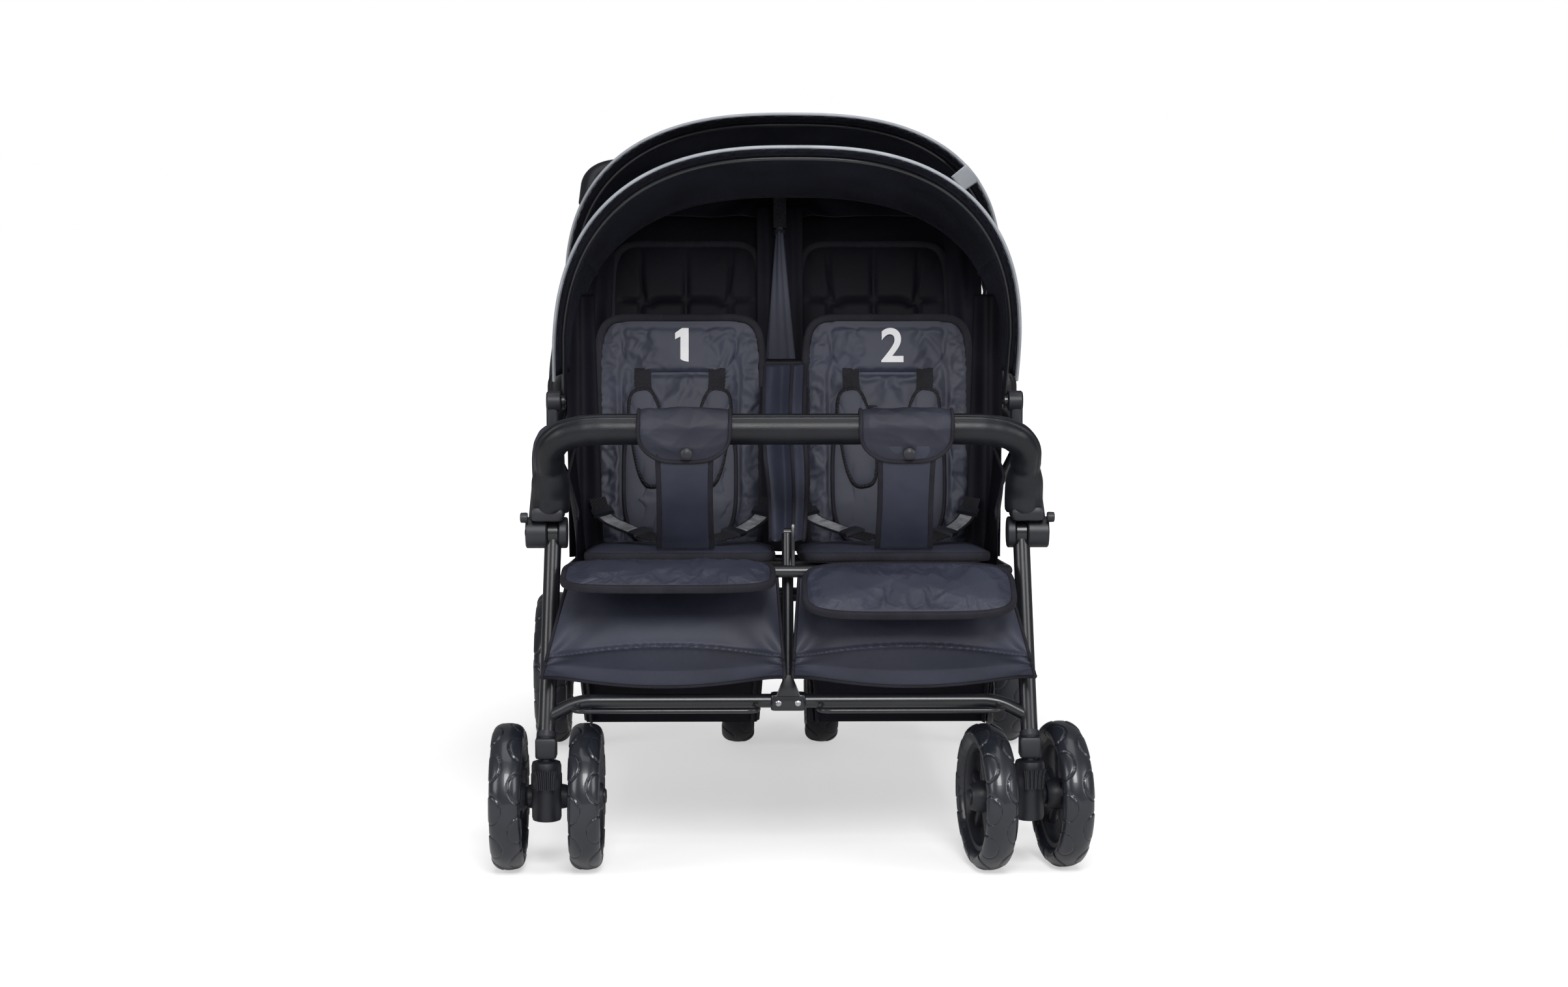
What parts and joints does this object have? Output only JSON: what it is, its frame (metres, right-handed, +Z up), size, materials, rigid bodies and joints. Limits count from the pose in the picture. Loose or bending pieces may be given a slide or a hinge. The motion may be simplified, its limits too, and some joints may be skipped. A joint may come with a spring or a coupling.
{
  "type": "quadruple stroller",
  "caption": "Folding quadruple stroller with two rows of side-by-side seats, a hood over each row, bumper bars, twin swivel casters and a fold-down handle.",
  "frame": {"origin": "centre of the footprint's bounding box, on the floor", "axes": "+X to the right as seen from the front, +Y to the rear where it is pushed, +Z up"},
  "size_m": [0.781, 1.1203, 0.98],
  "materials": {
    "fabric": "matte woven",
    "frame_tube": "satin black paint",
    "plastic": "fine grain",
    "rubber": "gloss foam tyre",
    "leatherette": "stitched, satin",
    "webbing": "ribbed"
  },
  "bodies": {
    "frame": {"seat_frame": "frame_tube", "side_rail_left": "frame_tube", "side_rail_right": "frame_tube", "front_joint_left": "plastic", "front_joint_right": "plastic", "armrest_left": "fabric", "armrest_right": "fabric", "seat_pan_1": "fabric", "seat_pan_2": "fabric", "seat_pan_3": "fabric", "seat_pan_4": "fabric", "side_panel_left": "fabric", "side_panel_right": "fabric", "front_hood": "fabric", "rear_hood": "fabric", "basket_left": "fabric", "basket_right": "fabric"},
    "front_legs": {"front_leg_left": "frame_tube", "front_leg_right": "frame_tube", "crossbar": "frame_tube", "centre_post": "frame_tube", "calf_panel_left": "fabric", "calf_panel_right": "fabric"},
    "rear_legs": {"rear_leg_frame": "frame_tube"},
    "brake": {"brake_pedal": "plastic"},
    "handle": {"handle_tube": "frame_tube", "handle_grip": "leatherette"},
    "front_bar": {"front_bumper_bar": "leatherette", "crotch_strap_1": "webbing", "crotch_strap_2": "webbing"},
    "rear_bar": {"rear_bumper_bar": "leatherette"},
    "front_hood_bow": {"front_hood_rib": "frame_tube"},
    "rear_hood_bow": {"rear_hood_rib": "frame_tube"},
    "caster_left_body": {"caster_left": "plastic"},
    "swivel_lock_left_body": {"swivel_lock_left": "plastic"},
    "bar_button_left_body": {"bar_button_left": "plastic"},
    "caster_right_body": {"caster_right": "plastic"},
    "swivel_lock_right_body": {"swivel_lock_right": "plastic"},
    "bar_button_right_body": {"bar_button_right": "plastic"},
    "front_wheel_1": {"front_tyre_1": "rubber", "front_rim_1": "plastic"},
    "rear_wheel_1_body": {"rear_wheel_1": "rubber"},
    "back_1": {"backrest_1": "fabric", "harness_1": "webbing"},
    "front_wheel_2": {"front_tyre_2": "rubber", "front_rim_2": "plastic"},
    "rear_wheel_2_body": {"rear_wheel_2": "rubber"},
    "back_2": {"backrest_2": "fabric", "harness_2": "webbing"},
    "front_wheel_3": {"front_tyre_3": "rubber", "front_rim_3": "plastic"},
    "rear_wheel_3_body": {"rear_wheel_3": "rubber"},
    "back_3": {"backrest_3": "fabric"},
    "front_wheel_4": {"front_tyre_4": "rubber", "front_rim_4": "plastic"},
    "rear_wheel_4_body": {"rear_wheel_4": "rubber"},
    "back_4": {"backrest_4": "fabric"},
    "leg_rest_1_body": {"leg_rest_1": "fabric"},
    "leg_rest_2_body": {"leg_rest_2": "fabric"}
  },
  "joints": [
    {"name": "front_leg_fold", "type": "hinge", "parent": "frame", "child": "front_legs", "pos_m": [0, -0.392, 0.432], "axis": [1, 0, 0], "range_deg": [0, 60], "deforming": ["calf_panel_left", "calf_panel_right", "basket_left", "basket_right"]},
    {"name": "rear_leg_fold", "type": "hinge", "parent": "frame", "child": "rear_legs", "pos_m": [0, 0.2, 0.56], "axis": [-1, 0, 0], "range_deg": [0, 40]},
    {"name": "handle_fold", "type": "hinge", "parent": "frame", "child": "handle", "pos_m": [0, 0.2, 0.56], "axis": [-1, 0, 0], "range_deg": [0, 100]},
    {"name": "brake_press", "type": "hinge", "parent": "rear_legs", "child": "brake", "pos_m": [0, 0.372, 0.2447], "axis": [-1, 0, 0], "range_deg": [0, 20]},
    {"name": "swivel_left", "type": "hinge", "parent": "front_legs", "child": "caster_left_body", "pos_m": [-0.31, -0.465, 0.17], "axis": [0, 0, 1], "continuous": true},
    {"name": "swivel_right", "type": "hinge", "parent": "front_legs", "child": "caster_right_body", "pos_m": [0.31, -0.465, 0.17], "axis": [0, 0, 1], "continuous": true},
    {"name": "swivel_lock_left_lift", "type": "slide", "parent": "caster_left_body", "child": "swivel_lock_left_body", "axis": [0, 0, 1], "range_m": [0, 0.005]},
    {"name": "swivel_lock_right_lift", "type": "slide", "parent": "caster_right_body", "child": "swivel_lock_right_body", "axis": [0, 0, 1], "range_m": [0, 0.005]},
    {"name": "front_wheel_1_spin", "type": "hinge", "parent": "caster_left_body", "child": "front_wheel_1", "pos_m": [-0.36, -0.44, 0.095], "axis": [1, 0, 0], "continuous": true},
    {"name": "front_wheel_2_spin", "type": "hinge", "parent": "caster_left_body", "child": "front_wheel_2", "pos_m": [-0.26, -0.44, 0.095], "axis": [1, 0, 0], "continuous": true},
    {"name": "front_wheel_3_spin", "type": "hinge", "parent": "caster_right_body", "child": "front_wheel_3", "pos_m": [0.25642, -0.44906, 0.095], "axis": [0.9848, 0.1736, 0], "continuous": true},
    {"name": "front_wheel_4_spin", "type": "hinge", "parent": "caster_right_body", "child": "front_wheel_4", "pos_m": [0.3549, -0.4317, 0.095], "axis": [0.9848, 0.1736, 0], "continuous": true},
    {"name": "rear_wheel_1_spin", "type": "hinge", "parent": "rear_legs", "child": "rear_wheel_1_body", "pos_m": [-0.358, 0.44, 0.12], "axis": [1, 0, 0], "continuous": true},
    {"name": "rear_wheel_2_spin", "type": "hinge", "parent": "rear_legs", "child": "rear_wheel_2_body", "pos_m": [-0.066, 0.44, 0.12], "axis": [1, 0, 0], "continuous": true},
    {"name": "rear_wheel_3_spin", "type": "hinge", "parent": "rear_legs", "child": "rear_wheel_3_body", "pos_m": [0.066, 0.44, 0.12], "axis": [1, 0, 0], "continuous": true},
    {"name": "rear_wheel_4_spin", "type": "hinge", "parent": "rear_legs", "child": "rear_wheel_4_body", "pos_m": [0.358, 0.44, 0.12], "axis": [1, 0, 0], "continuous": true},
    {"name": "recline_1", "type": "hinge", "parent": "frame", "child": "back_1", "pos_m": [0, -0.128, 0.362], "axis": [1, 0, 0], "range_deg": [-17, 0]},
    {"name": "recline_2", "type": "hinge", "parent": "frame", "child": "back_2", "pos_m": [0, -0.128, 0.362], "axis": [1, 0, 0], "range_deg": [-17, 0]},
    {"name": "recline_3", "type": "hinge", "parent": "frame", "child": "back_3", "pos_m": [0, 0.29, 0.425], "axis": [1, 0, 0], "range_deg": [-35, 0]},
    {"name": "recline_4", "type": "hinge", "parent": "frame", "child": "back_4", "pos_m": [0, 0.29, 0.425], "axis": [1, 0, 0], "range_deg": [-35, 0]},
    {"name": "leg_rest_1_tilt", "type": "hinge", "parent": "frame", "child": "leg_rest_1_body", "pos_m": [-0.152, -0.432, 0.386], "axis": [1, 0, 0], "range_deg": [-15, 18]},
    {"name": "leg_rest_2_tilt", "type": "hinge", "parent": "frame", "child": "leg_rest_2_body", "pos_m": [0.152, -0.432, 0.386], "axis": [1, 0, 0], "range_deg": [-33, 0]},
    {"name": "front_bar_lift", "type": "slide", "parent": "frame", "child": "front_bar", "axis": [0, 0, 1], "range_m": [0, 0.05]},
    {"name": "rear_bar_lift", "type": "slide", "parent": "frame", "child": "rear_bar", "axis": [0, 0, 1], "range_m": [0, 0.04]},
    {"name": "bar_button_left_press", "type": "slide", "parent": "frame", "child": "bar_button_left_body", "axis": [1, 0, 0], "range_m": [0, 0.003], "stiffness_N_per_m": 400},
    {"name": "bar_button_right_press", "type": "slide", "parent": "frame", "child": "bar_button_right_body", "axis": [-1, 0, 0], "range_m": [0, 0.003], "stiffness_N_per_m": 400},
    {"name": "front_hood_fold", "type": "hinge", "parent": "frame", "child": "front_hood_bow", "pos_m": [0, -0.15, 0.585], "axis": [1, 0, 0], "range_deg": [-45, 0], "deforming": ["front_hood"]},
    {"name": "rear_hood_fold", "type": "hinge", "parent": "frame", "child": "rear_hood_bow", "pos_m": [0, 0.265, 0.675], "axis": [1, 0, 0], "range_deg": [-60, 0], "deforming": ["rear_hood"]}
  ],
  "couplings": [
    {"joint": "rear_leg_fold", "follows": "front_leg_fold", "ratio": 0.6666},
    {"joint": "handle_fold", "follows": "front_leg_fold", "ratio": 1.6666}
  ]
}
